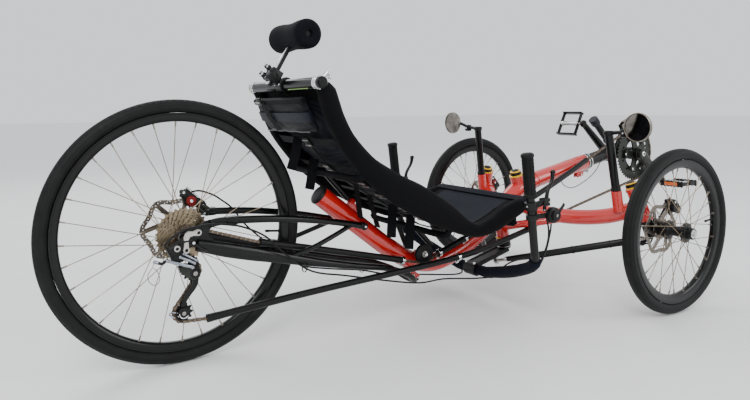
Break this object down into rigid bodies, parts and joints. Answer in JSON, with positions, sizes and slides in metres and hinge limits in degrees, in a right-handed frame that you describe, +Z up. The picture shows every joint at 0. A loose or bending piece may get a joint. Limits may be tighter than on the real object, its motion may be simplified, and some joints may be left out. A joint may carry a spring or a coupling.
{
  "type": "recumbent tricycle",
  "caption": "Recumbent tadpole tricycle with a reclined mesh seat, under-seat steering, disc brakes, chain drive through an idler and guard tubes, mirrors and a headrest.",
  "frame": {"origin": "centre of the rear tyre's contact with the ground", "axes": "+X forward, from the rear wheel towards the pedals; +Y to the rider's left; +Z up"},
  "size_m": [2.2003, 0.952, 0.8335],
  "materials": {
    "red_paint": "gloss",
    "black_paint": "satin",
    "tyre": "matt",
    "rim_black": "anodised",
    "rotor": "brushed",
    "steel": "satin",
    "alloy": "satin",
    "black_alloy": "satin",
    "grip": "matt",
    "foam": "matt",
    "mesh_fabric": "woven",
    "webbing": "woven",
    "plastic": "matt",
    "gold": "anodised",
    "mirror": "matt"
  },
  "bodies": {
    "frame": {"main_frame": "red_paint", "tube_end_cap": "plastic", "centre_head_cap": "gold", "rear_triangle": "black_paint", "rear_axle": "alloy", "boom": "black_paint", "boom_collar": "alloy", "accessory_post": "black_alloy", "front_derailleur": "alloy", "seat_frame": "black_paint", "seat_cover": "mesh_fabric", "seat_pocket": "mesh_fabric", "seat_webbing": "webbing", "power_tube_rear": "plastic", "power_tube_front": "plastic", "return_tube": "plastic", "chain": "steel", "rear_derailleur": "black_alloy", "shift_cable": "plastic", "brake_cable": "plastic", "brake_caliper_rear": "black_alloy", "mirror_post_left": "black_paint", "mirror_post_right": "black_paint"},
    "rear_wheel_assembly": {"rear_tyre": "tyre", "rear_wheel": "rim_black", "rear_disc": "rotor"},
    "cassette": {"cassette": "steel"},
    "crank": {"crankset": "black_alloy", "chainring": "steel"},
    "pedal_left": {"pedal_left": "alloy"},
    "pedal_right": {"pedal_right": "alloy"},
    "idler": {"idler": "plastic"},
    "guide_pulley": {"guide_pulley": "plastic"},
    "tension_pulley": {"tension_pulley": "plastic"},
    "steering": {"steering_stem": "black_alloy", "handlebar": "black_alloy", "grip_left": "grip", "grip_right": "grip", "lever_mount_left": "plastic", "lever_mount_right": "plastic"},
    "brake_lever_left": {"brake_lever_left": "plastic"},
    "brake_lever_right": {"brake_lever_right": "plastic"},
    "shift_lever": {"shift_lever": "plastic"},
    "tie_rod_left": {"tie_rod_left": "black_alloy"},
    "tie_rod_right": {"tie_rod_right": "black_alloy"},
    "knuckle_left": {"knuckle_left": "black_alloy", "brake_caliper_left": "black_alloy"},
    "knuckle_right": {"knuckle_right": "black_alloy", "brake_caliper_right": "black_alloy"},
    "front_wheel_left": {"front_tyre_left": "tyre", "front_wheel_left": "rim_black", "front_disc_left": "rotor"},
    "front_wheel_right": {"front_tyre_right": "tyre", "front_wheel_right": "rim_black", "front_disc_right": "rotor"},
    "mirror_left": {"mirror_left": "mirror"},
    "mirror_right": {"mirror_right": "mirror"},
    "headrest_bracket": {"headrest_bracket": "alloy"},
    "headrest": {"headrest_post": "alloy", "headrest_roller": "foam"}
  },
  "joints": [
    {"name": "rear_wheel_spin", "type": "hinge", "parent": "frame", "child": "rear_wheel_assembly", "pos_m": [0, 0, 0.3175], "axis": [0, 1, 0], "continuous": true},
    {"name": "crank_spin", "type": "hinge", "parent": "frame", "child": "crank", "pos_m": [1.7, 0, 0.43], "axis": [0, 1, 0], "continuous": true},
    {"name": "cassette_spin", "type": "hinge", "parent": "frame", "child": "cassette", "pos_m": [0, 0, 0.3175], "axis": [0, 1, 0], "continuous": true},
    {"name": "idler_spin", "type": "hinge", "parent": "frame", "child": "idler", "pos_m": [0.705, -0.05, 0.182], "axis": [0, 1, 0], "continuous": true},
    {"name": "guide_pulley_spin", "type": "hinge", "parent": "frame", "child": "guide_pulley", "pos_m": [0.008, -0.063, 0.238], "axis": [0, 1, 0], "continuous": true},
    {"name": "tension_pulley_spin", "type": "hinge", "parent": "frame", "child": "tension_pulley", "pos_m": [-0.014, -0.063, 0.142], "axis": [0, 1, 0], "continuous": true},
    {"name": "pedal_left_spin", "type": "hinge", "parent": "crank", "child": "pedal_left", "pos_m": [1.56824, 0.138, 0.54056], "axis": [0, 1, 0], "continuous": true},
    {"name": "pedal_right_spin", "type": "hinge", "parent": "crank", "child": "pedal_right", "pos_m": [1.83176, -0.138, 0.31944], "axis": [0, 1, 0], "continuous": true},
    {"name": "steering_turn", "type": "hinge", "parent": "frame", "child": "steering", "pos_m": [1.071, 0, 0.207], "axis": [-0.19, 0, 0.9818], "range_deg": [-18, 18]},
    {"name": "brake_lever_left_pull", "type": "hinge", "parent": "steering", "child": "brake_lever_left", "pos_m": [0.914, 0.315, 0.352], "axis": [0, 1, 0], "range_deg": [-18, 0], "stiffness_Nm_per_rad": 0.6, "springref_deg": 5.73},
    {"name": "brake_lever_right_pull", "type": "hinge", "parent": "steering", "child": "brake_lever_right", "pos_m": [0.914, -0.315, 0.352], "axis": [0, 1, 0], "range_deg": [-18, 0], "stiffness_Nm_per_rad": 0.6, "springref_deg": 5.73},
    {"name": "shift_lever_push", "type": "hinge", "parent": "steering", "child": "shift_lever", "pos_m": [0.921, -0.33, 0.317], "axis": [0, 1, 0], "range_deg": [-20, 0], "stiffness_Nm_per_rad": 0.2, "springref_deg": 5.73},
    {"name": "headrest_tilt", "type": "hinge", "parent": "frame", "child": "headrest_bracket", "pos_m": [0.286, 0, 0.67], "axis": [0, 1, 0], "range_deg": [-15, 15]},
    {"name": "headrest_height", "type": "slide", "parent": "headrest_bracket", "child": "headrest", "axis": [0.5145, 0, 0.8575], "range_m": [0, 0.04]},
    {"name": "tie_rod_left_swing", "type": "hinge", "parent": "steering", "child": "tie_rod_left", "pos_m": [1.025, 0.022, 0.112], "axis": [-0.126, 0, 0.992], "range_deg": [-18, 18]},
    {"name": "knuckle_left_turn", "type": "hinge", "parent": "frame", "child": "knuckle_left", "pos_m": [1.328, 0.345, 0.2415], "axis": [-0.1982, -0.303, 0.9322], "range_deg": [-22, 22]},
    {"name": "front_wheel_left_spin", "type": "hinge", "parent": "knuckle_left", "child": "front_wheel_left", "pos_m": [1.34, 0.425, 0.2415], "axis": [0, 1, 0], "continuous": true},
    {"name": "mirror_left_turn", "type": "hinge", "parent": "frame", "child": "mirror_left", "pos_m": [1.223, 0.388, 0.547], "axis": [0, 0, 1], "range_deg": [-25, 18]},
    {"name": "tie_rod_right_swing", "type": "hinge", "parent": "steering", "child": "tie_rod_right", "pos_m": [1.025, -0.022, 0.112], "axis": [-0.126, 0, 0.992], "range_deg": [-18, 18]},
    {"name": "knuckle_right_turn", "type": "hinge", "parent": "frame", "child": "knuckle_right", "pos_m": [1.328, -0.345, 0.2415], "axis": [-0.1982, 0.303, 0.9322], "range_deg": [-22, 22]},
    {"name": "front_wheel_right_spin", "type": "hinge", "parent": "knuckle_right", "child": "front_wheel_right", "pos_m": [1.34, -0.425, 0.2415], "axis": [0, 1, 0], "continuous": true},
    {"name": "mirror_right_turn", "type": "hinge", "parent": "frame", "child": "mirror_right", "pos_m": [1.223, -0.388, 0.547], "axis": [0, 0, 1], "range_deg": [-18, 25]}
  ],
  "couplings": [
    {"joint": "cassette_spin", "follows": "crank_spin", "ratio": 3.9592},
    {"joint": "idler_spin", "follows": "crank_spin", "ratio": -3.7308},
    {"joint": "guide_pulley_spin", "follows": "crank_spin", "ratio": -4.3694},
    {"joint": "tension_pulley_spin", "follows": "crank_spin", "ratio": 4.3694},
    {"joint": "tie_rod_left_swing", "follows": "steering_turn", "ratio": -1},
    {"joint": "tie_rod_right_swing", "follows": "steering_turn", "ratio": -1},
    {"joint": "knuckle_left_turn", "follows": "steering_turn", "ratio": 1.2},
    {"joint": "knuckle_right_turn", "follows": "steering_turn", "ratio": 1.2}
  ]
}
